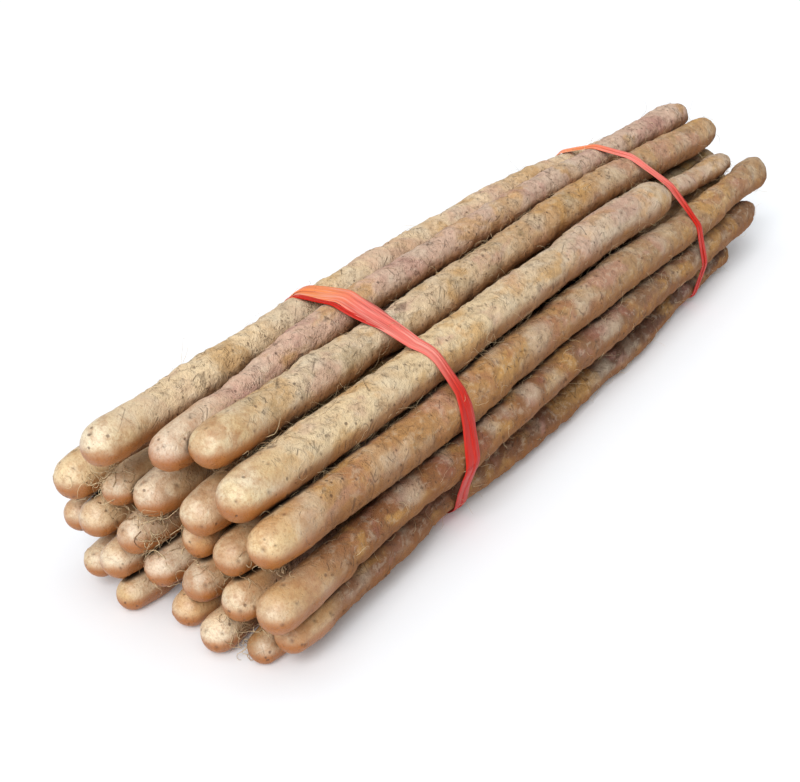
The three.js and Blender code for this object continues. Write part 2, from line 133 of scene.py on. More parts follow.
# ---- The skins' relief ------------------------------------------------------------------------
# The patterns' features in mm, along the tuber and twice across it, and their heights in mm. The
# folds and creases are ridges. A pattern's place in the list is also part of its seed.
RELIEF = {
    "lumps": {"size": (34, 20, 20), "height": 0.7},
    "bumps": {"size": (10, 10, 10), "height": 0.42},
    "folds": {"size": (5, 11, 11), "height": 0.32, "ridged": True},
    "creases": {"size": (6, 4, 4), "height": 0.16, "ridged": True},
    "grain": {"size": (2.6, 2.6, 2.6), "height": 0.24},
    "knobs": {"size": (5, 5, 5), "height": 0.8},
}
RIDGE_FALL = 2.6
END_LUMPS, BARK_LUMPS = 0.6, 1.9  # how strong the lumps are on the thick end and on the bark
END_GRAIN = 1 / 6  # how strong the grain is on the thick end
BARK_SINK = 0.3  # mm
SLANT = 50  # radians a metre: folds cross the body at about 35 degrees to its length
TUBER_APART = 0.7  # between two tubers' patterns, so that none repeats
# Where each look starts and is whole, from the thick tip on or, for the neck, back from its end.
BARK_START, BARK_STRAY, BARK_PATCH, BARK_RUN = 0.018, 0.016, 0.025, 0.055
BODY = (0.006, 0.03)
FAR = (0.2, 0.42)
NECK = (0.03, 0.005)
SKIN_BUMP = 1.3 * MM  # the height of what is finer than the mesh
UNDER = (-0.4, 0.75)  # upward parts of a direction that are quite under, and not at all, for the painted shade below
HIDDEN = (0.3 * MM, 6 * MM)  # gaps to the next skin that are quite hidden, and not at all, for the painted shade between skins
SCARS_SHOWN, SCARS_HIDDEN = 110, 30  # tried on a tuber whose whole body shows, and on another
SCAR_SIZES = (0.7, 1.6)  # mm
SCARS_FROM = 5 * MM
SCAR_RIM, SCAR_DIMPLE = 0.4, 0.5  # mm
TABLE_GAP = 0.2 * MM  # no skin is lower than this

# ---- Repeatable noise -------------------------------------------------------------------------
NOISE_CELLS = 32  # features before a noise repeats


def smooth(low, high, value):
    """0 up to `low` and 1 from `high` on, with a smooth step between them."""
    t = np.clip((value - low) / (high - low), 0, 1)
    return t * t * (3 - 2 * t)


def unit(vectors):
    """Vectors brought to length 1."""
    return vectors / np.maximum(np.linalg.norm(vectors, axis=-1, keepdims=True), 1e-9)


def noise(points, size, seed):
    """Smooth noise from -1 to 1 at points (n, 3). Its features' size is one value or one an axis."""
    table = np.random.default_rng(seed).uniform(-1, 1, (NOISE_CELLS,) * 3)
    scaled = points / size
    cell = np.floor(scaled).astype(int)
    part = scaled - cell
    part = part * part * (3 - 2 * part)
    total = np.zeros(len(points))
    for corner in np.ndindex(2, 2, 2):
        weight = np.prod(np.where(corner, part, 1 - part), axis=1)
        index = (cell + corner) % NOISE_CELLS
        total += weight * table[index[:, 0], index[:, 1], index[:, 2]]
    return total


# ---- The tubers' forms, from the frame --------------------------------------------------------


def frame_rings(node):
    """A tuber's two end points and its rings of 12 points, ordered along X and by angle."""
    points = np.array([v.co for v in node.data.vertices])
    points = np.unique(np.round(points, 6), axis=0)
    levels = np.round(points[:, 0], 5)
    rings = [points[levels == x] for x in np.unique(levels)]
    ends = (rings[0][0], rings[-1][0])
    body = []
    for ring in rings[1:-1]:
        centre = ring.mean(0)
        angle = np.arctan2(ring[:, 2] - centre[2], ring[:, 1] - centre[1])
        body.append(ring[np.argsort(angle)])
    return ends, np.array(body)


def round_samples(rings, sides):
    """Each ring drawn as a smooth closed curve through its points, with `sides` points."""
    count = rings.shape[1]
    at = np.arange(sides) * count / sides
    k = np.floor(at).astype(int)
    t = (at - k)[None, :, None]
    p0, p1, p2, p3 = (rings[:, (k + shift) % count] for shift in (-1, 0, 1, 2))
    bend = 2 * p0 - 5 * p1 + 4 * p2 - p3
    return 0.5 * (2 * p1 + (p2 - p0) * t + bend * t**2 + (3 * p1 - p0 - 3 * p2 + p3) * t**3)


def along_samples(lines, at, marks):
    """Smooth curves through lines (m, sides, 3), whose places are `marks`, at the places `at`."""
    gaps = np.diff(marks)[:, None, None]
    slopes = np.diff(lines, axis=0) / gaps
    inner = (slopes[:-1] * gaps[1:] + slopes[1:] * gaps[:-1]) / (gaps[:-1] + gaps[1:])
    tangents = np.concatenate([slopes[:1], inner, slopes[-1:]])
    k = np.clip(np.searchsorted(marks, at, side="right") - 1, 0, len(marks) - 2)
    h = (marks[k + 1] - marks[k])[:, None, None]
    t = ((at - marks[k]) / h[:, 0, 0])[:, None, None]
    start = (1 + 2 * t) * (1 - t) ** 2 * lines[k] + t * (1 - t) ** 2 * h * tangents[k]
    end = t**2 * (3 - 2 * t) * lines[k + 1] + t**2 * (t - 1) * h * tangents[k + 1]
    return start + end


def spread(stops):
    """Places from 0 on, where stops are (place, spacing from there on) and the last ends them."""
    places = [np.arange(low, high, step) for (low, step), (high, _) in zip(stops, stops[1:])]
    return np.concatenate(places + [[stops[-1][0]]])


def grid_outward(points):
    """Outward directions on a grid of rings (rows, sides, 3) that runs along +X."""
    along = np.gradient(points, axis=0)
    around = np.roll(points, -1, axis=1) - np.roll(points, 1, axis=1)
    return unit(np.cross(around, along))


class Tuber:
    """A tuber's fine grid of points (rows, sides, 3), displaced into its skin. `run` is each row's
    place along it, `centres` its middle line and `reach` how far the skin is from that line."""

    def __init__(self, letter):
        self.letter = letter
        self.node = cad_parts["tuber_" + letter]
        self.seed = ord(letter) * 100
        self.ends, rings = frame_rings(self.node)
        fine = FINE if letter in SHOWN else COARSE
        lines = round_samples(rings, fine["sides"])
        # Past each tip the lines go on down the opposite side, so that they round it.
        opposite = np.roll(lines, fine["sides"] // 2, axis=1)
        poles = [np.repeat(end[None, None], fine["sides"], axis=1) for end in self.ends]
        lines = np.concatenate([opposite[:1], poles[0], lines, poles[1], opposite[-1:]])
        marks = np.linalg.norm(np.diff(lines, axis=0), axis=2).mean(1)
        marks = np.concatenate([[0], np.cumsum(marks)])
        marks -= marks[1]
        self.length = marks[-2]
        stops = [(0.4 * TIP_STEP, TIP_STEP), (END_RUN, FINE["step"]), (NEAR_RUN, fine["step"])]
        stops += [(self.length - END_RUN, NECK_STEP), (self.length - 0.6 * TIP_STEP, None)]
        self.run = spread(stops)
        self.points = along_samples(lines, self.run, marks)
        self.shape_skin()
        self.centres = self.points.mean(1)
        self.reach = np.linalg.norm(self.points[..., 1:] - self.centres[:, None, 1:], axis=2)

    def unrolled(self, twist):
        """Places on the skin as if the tuber were straight, turned by `twist` a metre along it."""
        rows, sides = self.points.shape[:2]
        centre = self.points.mean(1, keepdims=True)
        reach = np.linalg.norm(self.points - centre, axis=2).mean(1)[:, None]
        angle = np.arange(sides) * 2 * np.pi / sides + twist * self.run[:, None]
        run = np.broadcast_to(self.run[:, None], (rows, sides))
        place = np.stack([run, reach * np.cos(angle), reach * np.sin(angle)], axis=2)
        return place.reshape(-1, 3) + (ord(self.letter) - ord("a")) * TUBER_APART

    def pattern(self, name, place):
        """The height in mm of one of the patterns in RELIEF at places on the skin."""
        spec = RELIEF[name]
        seed = self.seed + 1 + list(RELIEF).index(name)
        height = noise(place, np.array(spec["size"]) * MM, seed)
        if spec.get("ridged"):
            height = 1 - RIDGE_FALL * np.abs(height)
        return spec["height"] * height

    def shape_skin(self):
        """Lays lumps, folds and scars on the grid, and keeps where the skin is rough or scarred."""
        place = self.unrolled(0)
        slant = self.unrolled(SLANT)
        run = np.repeat(self.run, self.points.shape[1])
        onset = BARK_START + BARK_STRAY * noise(place, BARK_PATCH, self.seed)
        bark = smooth(onset, onset + BARK_RUN, run)
        neck = smooth(self.length - NECK[0], self.length - NECK[1], run)
        lumps = self.pattern("lumps", place) + self.pattern("bumps", place)
        grain = self.pattern("grain", place)
        height = lumps * (END_LUMPS + (BARK_LUMPS - END_LUMPS) * bark)
        height += grain * (END_GRAIN + bark) - BARK_SINK * bark
        height += bark * (self.pattern("folds", slant) + self.pattern("creases", place))
        height += neck * self.pattern("knobs", place)
        scars = self.scars(place, run, height)
        out = grid_outward(self.points).reshape(-1, 3)
        # which way the skin faces, for the painted shade on its undersides
        under = 1 - smooth(*UNDER, out[:, 2])
        body = smooth(*BODY, run)
        far = smooth(*FAR, run)
        points = self.points.reshape(-1, 3) + out * height[:, None] * MM
        points[:, 2] = np.maximum(points[:, 2], TABLE_GAP)
        self.masks = {"body": body, "bark": bark, "far": far, "neck": neck}
        self.masks |= {"scar": scars, "under": under}
        self.places = {"place": place, "slant": slant}
        self.points = points.reshape(self.points.shape)

    def scars(self, place, run, height):
        """Small round root scars, each a raised rim about a dimple, added to `height`."""
        rng = np.random.default_rng(self.seed + 1 + len(RELIEF))
        scars = np.zeros(len(place))
        whole = self.letter in SHOWN
        reach = self.length if whole else NEAR_RUN
        for _ in range(SCARS_SHOWN if whole else SCARS_HIDDEN):
            at = rng.integers(len(place))
            size = rng.uniform(*SCAR_SIZES) * MM
            if not SCARS_FROM < run[at] < reach:
                continue
            near = np.abs(run - run[at]) < 4 * size
            distance = np.linalg.norm(place[near] - place[at], axis=1) / size
            height[near] += SCAR_RIM * np.exp(-((distance - 1.6) ** 2) * 3)
            height[near] -= SCAR_DIMPLE * np.exp(-(distance**2))
            scars[near] = np.maximum(scars[near], np.exp(-((distance * 1.1) ** 2)))
        return scars

    def skin_from(self, points):
        """From the tuber's middle line: the way (y, z) to points, how far they are, and how far the
        skin is, or 0 where the tuber doesn't reach."""
        rows, sides = self.reach.shape
        row = np.interp(points[:, 0], self.centres[:, 0], np.arange(rows), left=-1, right=-1)
        nearest = np.maximum(np.round(row), 0).astype(int)
        way = points[:, 1:] - self.centres[nearest, 1:]
        first = self.points[rows // 2, 0, 1:] - self.centres[rows // 2, 1:]
        angle = np.arctan2(way[:, 1], way[:, 0]) - np.arctan2(first[1], first[0])
        column = np.round(angle * sides / (2 * np.pi)).astype(int) % sides
        skin = np.where(row < 0, 0, self.reach[nearest, column])
        return way, np.linalg.norm(way, axis=1), skin


LETTERS = sorted(name[-1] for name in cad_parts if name.startswith("tuber_"))
tubers = {letter: Tuber(letter) for letter in LETTERS}


def clearance(points, without):
    """How far points are from the nearest skin of the other tubers."""
    nearest = np.full(len(points), 1.0)
    for tuber in tubers.values():
        if tuber is not without:
            _, distance, skin = tuber.skin_from(points)
            nearest = np.where(skin > 0, np.minimum(nearest, distance - skin), nearest)
    return nearest


# How hidden each point is, for the painted shade between the skins and for where root hairs gather.
for tuber in tubers.values():
    gap = clearance(tuber.points.reshape(-1, 3), without=tuber)
    tuber.masks["hidden"] = 1 - smooth(*HIDDEN, gap)

# ---- Materials --------------------------------------------------------------------------------


def srgb(text, share=1.0):
    """A linear colour from six sRGB hex digits, with its light times `share`."""
    parts = [int(text[i : i + 2], 16) / 255 for i in (0, 2, 4)]
    linear = [p / 12.92 if p <= 0.04045 else ((p + 0.055) / 1.055) ** 2.4 for p in parts]
    return [share * p for p in linear] + [1.0]


class Nodes:
    """Makes and links a material's nodes. An input's value is a number, a colour or a socket."""

    def __init__(self, name):
        self.material = bpy.data.materials.new(name)
        self.material.use_nodes = True
        self.tree = self.material.node_tree
        self.shader = self.tree.nodes["Principled BSDF"].inputs

    def put(self, socket, value):
        """Links a socket to an input, or sets the input to a number or colour."""
        if isinstance(value, bpy.types.NodeSocket):
            self.tree.links.new(value, socket)
        else:
            socket.default_value = value

    def add(self, kind, inputs, output=0, **settings):
        """A new node with its inputs, by name or number, and its settings. Returns its output."""
        node = self.tree.nodes.new(kind)
        for key, value in settings.items():
            setattr(node, key, value)
        for key, value in inputs.items():
            self.put(node.inputs[key], value)
        return node.outputs[output]

    def attribute(self, name, output="Fac"):
        return self.add("ShaderNodeAttribute", {}, output, attribute_name=name)

    def stretched(self, vector, scale):
        """Places scaled along each axis: a scale under 1 draws a pattern out along it."""
        return self.add("ShaderNodeMapping", {"Vector": vector, "Scale": scale})

    def noise(self, vector, scale, detail=3, rough=0.55, warp=0.0):
        inputs = {"Vector": vector, "Scale": scale, "Detail": detail}
        inputs |= {"Roughness": rough, "Distortion": warp}
        return self.add("ShaderNodeTexNoise", inputs, "Fac")

    def math(self, operation, a, b=0.0):
        return self.add("ShaderNodeMath", {0: a, 1: b}, operation=operation)

    def times(self, *values):
        product = values[0]
        for value in values[1:]:
            product = self.math("MULTIPLY", product, value)
        return product

    def range(self, value, low, high, to_low=0.0, to_high=1.0):
        """A value from low to high, smoothly brought to the range to_low to to_high."""
        inputs = {"Value": value, "From Min": low, "From Max": high}
        inputs |= {"To Min": to_low, "To Max": to_high}
        return self.add("ShaderNodeMapRange", inputs, interpolation_type="SMOOTHSTEP")

    def minus(self, value, *others):
        for other in others:
            value = self.math("SUBTRACT", value, other)
        return value

    def plus(self, value, *others):
        for other in others:
            value = self.math("ADD", value, other)
        return value

    def mix(self, share, a, b):
        """Colour a with a share of colour b, by number because a Mix node's sockets share names."""
        return self.add("ShaderNodeMix", {0: share, 6: a, 7: b}, 2, data_type="RGBA")

    def over(self, colour, layers):
        """A colour with layers (share, colour) laid over it in turn."""
        for share, layer in layers:
            colour = self.mix(share, colour, layer)
        return colour

    def bump(self, height, distance):
        return self.add("ShaderNodeBump", {"Height": height, "Distance": distance})

    def lines(self, value, width):
        """1 on the curves where a noise passes its middle value, falling to 0 beside them."""
        away = self.math("ABSOLUTE", self.minus(value, 0.5))
        return self.range(away, 0, width, 1, 0)

    def cracks(self, vector, mask_vector, scale, width):
        """Thin curved cracks, broken up by another noise."""
        line = self.lines(self.noise(vector, scale, 1, 0.5, 0.25), width)
        return self.times(line, self.range(self.noise(mask_vector, 120, 1), 0.55, 0.63))

    def specks(self, vector, scale, low, high, share):
        """Round dots in some of the cells of a Voronoi pattern, of a size between low and high."""
        node = self.tree.nodes.new("ShaderNodeTexVoronoi")
        self.put(node.inputs["Vector"], vector)
        self.put(node.inputs["Scale"], scale)
        pick = self.add("ShaderNodeSeparateColor", {0: node.outputs["Color"]}, "Red")
        dot = self.range(node.outputs["Distance"], low, high, 1, 0)
        return self.times(dot, self.math("LESS_THAN", pick, share))


def skin_patterns(nodes):
    """The masks that a skin carries, and the noises and marks that its looks are made from."""
    masks = ("bark", "body", "far", "hidden", "neck", "scar", "under")
    found = SimpleNamespace(**{name: nodes.attribute(name) for name in masks})
    place = nodes.attribute("place", "Vector")
    slant = nodes.attribute("slant", "Vector")
    drawn_out = nodes.stretched(place, (0.7, 1, 1))
    found.cloud = nodes.noise(place, 30, 2)
    found.patch = nodes.noise(nodes.stretched(place, (0.8, 1.2, 1.2)), 24, 3, 0.6, 0.4)
    found.tint = nodes.noise(drawn_out, 47, 3, 0.6, 0.5)
    found.mottle = nodes.noise(place, 150, 4, 0.65)
    found.grain = nodes.noise(place, 700, 4, 0.65)
    found.flakes = nodes.noise(drawn_out, 210, 6, 0.68, 0.4)
    found.hatch = nodes.noise(nodes.stretched(slant, (0.4, 1.5, 1.5)), 430, 3, 0.6, 0.8)
    folds = nodes.lines(nodes.noise(place, 80, 4, 0.62, 0.3), 0.05)
    found.folds = nodes.times(folds, nodes.range(found.mottle, 0.45, 0.6))
    found.creases = nodes.lines(nodes.noise(slant, 210, 3, 0.62), 0.06)
    across = nodes.cracks(nodes.stretched(slant, (0.25, 1, 1)), place, 56, 0.014)
    along = nodes.cracks(nodes.stretched(slant, (1, 0.4, 0.4)), place, 64, 0.013)
    share = nodes.range(found.bark, 0, 0.6, 0.12, 0.48)
    found.cracks = nodes.times(nodes.math("MAXIMUM", across, along), share)
    found.specks = nodes.specks(place, 150, 0.07, 0.19, 0.6)
    found.dots = nodes.specks(slant, 330, 0.06, 0.16, 0.3)
    # painted shade on the undersides, broken up by clouds and mottling
    found.shade = nodes.plus(found.under, nodes.times(nodes.plus(found.cloud, found.mottle), 0.45))
    return found


def end_colour(nodes, skin, tip):
    """The thick end: waxy gold, with pale clouds, warm brown patches and pores, painted warm shade
    below, and a paler tip left as a painted highlight.
    """
    layers = [
        # painted highlight: the very tip keeps its paler colour while the rest of the end turns gold
        (nodes.times(skin.body, 0.6), srgb(GOLD)),
        (nodes.range(skin.cloud, 0.4, 0.64, 0, 0.65), srgb(PALE)),
        (nodes.range(skin.tint, 0.5, 0.36, 0, 0.4), srgb(RIPE_AND_SHADE)),
        (nodes.range(skin.mottle, 0.56, 0.34, 0, 0.35), srgb(RIPE_AND_SHADE, 0.8)),
        # painted warm shade on the thick end's underside
        (nodes.range(skin.shade, 0.68, 1.45, 0, 0.95), srgb(RIPE_AND_SHADE)),
        (nodes.range(skin.grain, 0.5, 0.36, 0, 0.3), srgb(RIPE_AND_SHADE)),
        (nodes.times(skin.creases, 0.14), srgb(BARK)),
    ]
    return nodes.over(srgb(tip), layers)


def bark_colour(nodes, skin, near, far, blotch):
    """The body: patches and blotches, pale and brown flakes, brown in its folds, and painted shade
    below.
    """
    layers = [
        (nodes.range(skin.patch, 0.53, 0.66, 0, 0.45), srgb(ROSY)),
        (nodes.range(skin.patch, 0.5, 0.38, 0, 0.65), srgb(OCHRE)),
        (nodes.range(skin.tint, 0.52, 0.66, 0, 0.42), srgb(blotch)),
        (nodes.range(skin.cloud, 0.5, 0.68, 0, 0.4), srgb(PALE, 0.9)),
        (nodes.range(skin.flakes, 0.5, 0.66, 0, 0.28), srgb(PALE, 0.92)),
        (nodes.range(skin.flakes, 0.48, 0.32, 0, 0.3), srgb(BARK)),
        # painted shade on the body's underside
        (nodes.range(skin.shade, 0.5, 1.35, 0, 0.85), srgb(UNDERSIDE_SHADE)),
        (nodes.range(skin.hatch, 0.46, 0.32, 0, 0.18), srgb(BARK)),
        (nodes.times(skin.folds, 0.25), srgb(BARK)),
        (nodes.times(skin.creases, 0.08), srgb(BARK)),
        (nodes.times(skin.neck, 0.25), srgb(BARK)),
    ]
    return nodes.over(nodes.mix(skin.far, srgb(near), srgb(far)), layers)


def skin_relief(nodes, skin):
    """The height of what is finer than the mesh: flakes, hatching and grain, less the marks."""
    rise = nodes.minus(
        nodes.times(skin.flakes, 1.1), nodes.times(skin.folds, 0.45), nodes.times(skin.creases, 0.12)
    )
    rise = nodes.plus(rise, nodes.times(skin.hatch, 0.35), nodes.times(skin.grain, 0.3))
    rise = nodes.times(rise, nodes.range(skin.bark, 0, 1, 0.26, 1))
    return nodes.minus(rise, nodes.times(skin.cracks, 0.8), nodes.times(skin.specks, 0.3))


def skin_material(tuber):
    """Waxy and smooth at the thick end; along the body a dull, flaking, cracked bark."""
    tip, *body = TINTS.get(tuber.letter, PLAIN)
    nodes = Nodes("skin_" + tuber.letter)
    skin = skin_patterns(nodes)
    layers = [
        (skin.bark, bark_colour(nodes, skin, *body)),
        (skin.cracks, srgb(DARK)),
        (nodes.times(skin.specks, 0.6), srgb(DARK)),
        (nodes.times(skin.dots, 0.5), srgb(BARK)),
        (nodes.times(skin.scar, 0.6), srgb(DARK)),
        # painted shade: darker bark, then near black, where the skins come close
        (nodes.range(skin.hidden, 0.25, 0.8, 0, 0.5), srgb(BARK, 0.7)),
        (nodes.range(skin.hidden, 0.4, 1, 0, 0.92), srgb(GAP_SHADE)),
    ]
    nodes.put(nodes.shader["Base Color"], nodes.over(end_colour(nodes, skin, tip), layers))
    nodes.put(nodes.shader["Roughness"], nodes.range(skin.bark, 0, 1, 0.37, 0.85))
    nodes.put(nodes.shader["Normal"], nodes.bump(skin_relief(nodes, skin), SKIN_BUMP))
    return nodes.material


def hair_material():
    """Dry rootlets, from straw to brown."""
    nodes = Nodes("root_hair")
    colour = nodes.mix(nodes.attribute("tone"), srgb(STRAW), srgb(ROOT))
    coords = nodes.add("ShaderNodeTexCoord", {}, "Object")
    stains = nodes.range(nodes.noise(coords, 300), 0.5, 0.7, 0, 0.5)
    colour = nodes.mix(stains, colour, srgb(BARK))
    nodes.put(nodes.shader["Base Color"], colour)
    nodes.shader["Roughness"].default_value = 0.75
    return nodes.material


# ---- Pieces -----------------------------------------------------------------------------------


def add_mesh(name, points, faces, material):
    """A smooth piece that rides on the bundle, from points (n, 3) and lists of faces (m, 3 or 4)."""
    mesh = bpy.data.meshes.new(name)
    corners = np.concatenate([part.ravel() for part in faces])
    sizes = np.concatenate([np.full(len(part), part.shape[1]) for part in faces])
    mesh.vertices.add(len(points))
    mesh.loops.add(len(corners))
    mesh.polygons.add(len(sizes))
    mesh.vertices.foreach_set("co", np.asarray(points, np.float32).ravel())
    mesh.loops.foreach_set("vertex_index", corners.astype(np.int32))
    mesh.polygons.foreach_set("loop_start", (np.cumsum(sizes) - sizes).astype(np.int32))
    mesh.update(calc_edges=True)
    mesh.polygons.foreach_set("use_smooth", np.ones(len(sizes), bool))
    mesh.materials.append(material)
    piece = bpy.data.objects.new(name, mesh)
    bpy.context.scene.collection.objects.link(piece)
    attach(piece, "root")
    return piece


def add_attribute(piece, name, values):
    """Gives each point of a piece a number or a vector that its material reads."""
    kind = "FLOAT_VECTOR" if values.ndim == 2 else "FLOAT"
    layer = piece.data.attributes.new(name, kind, "POINT")
    field = "vector" if values.ndim == 2 else "value"
    layer.data.foreach_set(field, values.astype(np.float32).ravel())


def tube_faces(rows, sides):
    """Quads between a tube's rings, which follow each other along +X with their points ordered from
    +Y towards +Z, and the fans that close its ends on two points added after the rings."""
    row = np.arange(rows - 1)[:, None] * sides
    side = np.arange(sides)[None]
    a = row + side
    b = row + (side + 1) % sides
    quads = np.stack([a, b, b + sides, a + sides], axis=2).reshape(-1, 4)
    around = np.arange(sides)
    after = (around + 1) % sides
    top = (rows - 1) * sides
    start = np.stack([np.full(sides, rows * sides), after, around], axis=1)
    end = np.stack([np.full(sides, rows * sides + 1), top + around, top + after], axis=1)
    return [quads, np.concatenate([start, end])]


def add_tuber(tuber):
    """A tuber's skin, closed at its two tips, in place of its plain solid."""
    rows, sides = tuber.points.shape[:2]
    points = np.concatenate([tuber.points.reshape(-1, 3), tuber.ends])
    faces = tube_faces(rows, sides)
    piece = add_mesh("skin_" + tuber.letter, points, faces, skin_material(tuber))
    for name, values in (tuber.masks | tuber.places).items():
        add_attribute(piece, name, np.concatenate([values, values[:1], values[-1:]]))
    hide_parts(tuber.node.name)


for tuber in tubers.values():
    add_tuber(tuber)

# ---- Root hairs -------------------------------------------------------------------------------
# Tangles of roots in the hollows between thick ends: which tubers are round each, how far its
# middle is behind their tips, its size and the roots' length in mm, and how many roots.
TANGLES = [
    {"by": "jkps", "back": 8, "size": 8, "count": 55, "length": 22},
    {"by": "ahi", "back": 14, "size": 8, "count": 50, "length": 16},
    {"by": "xyv", "back": 10, "size": 8, "count": 50, "length": 15},
    {"by": "efmv", "back": 12, "size": 9, "count": 24, "length": 13},
    {"by": "cdk", "back": 40, "size": 9, "count": 80, "length": 20},
    {"by": "hnip", "back": 12, "size": 9, "count": 30, "length": 14},
    {"by": "psru", "back": 12, "size": 9, "count": 24, "length": 12},
    {"by": "uvl", "back": 10, "size": 8, "count": 20, "length": 12},
]
TANGLE_SHAPE = np.array([0.7, 0.8, 0.8])  # of its size along each axis
TANGLE_DROOP = np.array([-0.5, 0, -0.4])
ROOTED = 2.5 * MM  # a tangled root starts no further than this from a skin
BODY_HAIRS = 130  # on a tuber whose whole body shows
HAIRIER = "cde"  # tubers with half as many again
BODY_HAIR_LENGTHS = (5, 16)  # mm
TOWARDS_VIEW = np.array([-0.35, -0.6, 0.72])
BODY_CURL, TANGLE_CURL = 0.14, 0.3
HAIR_STEPS = 10
HAIR_STRAY = 12 * MM  # how far a hair strays before it bends back
HAIR_GAPS = (0.1, 1)  # mm off the skins
HAIR_LOW = 0.4 * MM
HAIR_TOP = cad_box[1][2] + 7 * MM  # no hair stands higher than this
THIN_HAIR, THICK_HAIR = 0.11 * MM, 0.25 * MM
HAIR_END = 0.35  # of its thickness at its start
HAIR_ASKEW = np.array([0.31, 0.52, 0.79])  # a direction that no hair follows
HAIR_SEED = 11
HAIR = hair_material()


def off_skins(points, gap):
    """Moves points straight out of the tubers that they are in, until they are `gap` off them."""
    for _ in range(2):
        for tuber in tubers.values():
            way, distance, skin = tuber.skin_from(points)
            push = np.where(skin > 0, np.maximum(skin + gap - distance, 0), 0)
            points[:, 1:] += unit(way) * push[:, None]
    points[:, 2] = np.clip(points[:, 2], HAIR_LOW, HAIR_TOP)
    return points


def grow(starts, heads, lengths, curl, rng):
    """Curly threads (n, steps + 1, 3) from `starts` towards `heads`, which bend back to where they
    began as they stray, and are kept off the skins."""
    line = [starts]
    bend = rng.normal(size=starts.shape)
    for _ in range(HAIR_STEPS):
        bend = 0.7 * bend + rng.normal(size=starts.shape)
        back = (starts - line[-1]) / HAIR_STRAY
        heads = unit(heads + curl * bend + 0.3 * back)
        step = line[-1] + heads * (lengths / HAIR_STEPS)[:, None]
        line.append(off_skins(step, rng.uniform(*HAIR_GAPS, len(step)) * MM))
    return np.stack(line, axis=1)


def body_hairs(rng):
    """Rootlets that lie along the skins that show, most of them by the gaps."""
    threads = []
    for letter in SHOWN:
        tuber = tubers[letter]
        points = tuber.points.reshape(-1, 3)
        out = grid_outward(tuber.points).reshape(-1, 3)
        shows = out @ unit(TOWARDS_VIEW) > -0.15
        weight = tuber.masks["bark"] * shows * (0.15 + smooth(0.05, 0.5, tuber.masks["hidden"]))
        count = int(BODY_HAIRS * (1.5 if letter in HAIRIER else 1))
        picks = rng.choice(len(points), count, p=weight / weight.sum())
        along = rng.choice([-1, 1], count)[:, None] * np.array([1, 0, 0])
        heads = unit(along + 0.1 * out[picks] + 0.6 * rng.normal(size=(count, 3)))
        lengths = rng.uniform(*BODY_HAIR_LENGTHS, count) * MM * rng.choice([1, 1, 1.7], count)
        threads.append(grow(points[picks], heads, lengths, BODY_CURL, rng))
    return np.concatenate(threads)


def tangle(spec, rng):
    """Curly roots that start on the skins about one of the hollows in TANGLES."""
    tips = np.array([tubers[letter].ends[0] for letter in spec["by"]])
    middle = tips.mean(0) + np.array([spec["back"] * MM, 0, 0])
    scatter = rng.normal(size=(6 * spec["count"], 3)) * spec["size"] * MM * TANGLE_SHAPE
    starts = off_skins(middle + scatter, 0.1 * MM)
    starts = starts[clearance(starts, without=None) < ROOTED][: spec["count"]]
    heads = unit(rng.normal(size=starts.shape) + TANGLE_DROOP)
    lengths = rng.uniform(0.5, 1.2, len(starts)) * spec["length"] * MM
    return grow(starts, heads, lengths, TANGLE_CURL, rng)


def add_hairs(name, threads, radius, rng):
    """Threads (n, steps + 1, 3) as closed three-sided tubes that thin towards their ends."""
    count, rows = threads.shape[:2]
    ahead = unit(np.gradient(threads, axis=1))
    side = unit(np.cross(ahead, HAIR_ASKEW))
    other = np.cross(ahead, side)
    thick = radius * rng.uniform(0.6, 1.35, count)[:, None] * np.linspace(1, HAIR_END, rows)[None]
    corners = []
    for turn in np.arange(3) * 2 * np.pi / 3:
        corners.append(threads + thick[..., None] * (side * np.cos(turn) + other * np.sin(turn)))
    points = np.stack(corners, axis=2).reshape(-1, 3)
    row = np.arange(rows - 1)[:, None] * 3
    a = (row + np.arange(3)[None]).ravel()
    b = (row + (np.arange(3)[None] + 1) % 3).ravel()
    one = np.stack([a, b, b + 3, a + 3], axis=1)
    caps = np.array([[0, 2, 1], (rows - 1) * 3 + np.arange(3)])
    first = (np.arange(count) * rows * 3)[:, None, None]
    faces = [(first + one[None]).reshape(-1, 4), (first + caps[None]).reshape(-1, 3)]
    piece = add_mesh(name, points, faces, HAIR)
    add_attribute(piece, "tone", np.repeat(rng.uniform(0, 1, count) ** 1.5, rows * 3))


rng = np.random.default_rng(HAIR_SEED)
add_hairs("rootlets_on_bodies", body_hairs(rng), THIN_HAIR, rng)
tangles = np.concatenate([tangle(spec, rng) for spec in TANGLES])
add_hairs("root_tangles", tangles, THICK_HAIR, rng)

# ---- Tapes ------------------------------------------------------------------------------------
# Each tape is film bunched into strands. A strand's middle and half width are shares of the tape's
# half width; `lift` in mm is how far it lies off the skins, `wander` how far its middle strays,
# `slip` how far it has slipped towards the thick ends on top, and the last value how much of the
# film's painted light on top it takes, so that a tucked strand is painted in deeper shade.
STRANDS = [
    {"middle": 0, "half": 0.9, "lift": 0.2, "wander": 0.08, "slip": 0, "thin": 1},
    {"middle": 0.4, "half": 0.42, "lift": 0.8, "wander": 0.25, "slip": 0, "thin": 1},
    {"middle": -0.35, "half": 0.22, "lift": 0.1, "wander": 0.1, "slip": 0.7, "thin": 0.3},
]
SLIP_AT, SLIP_SPREAD = 84, 26  # degrees round the bundle
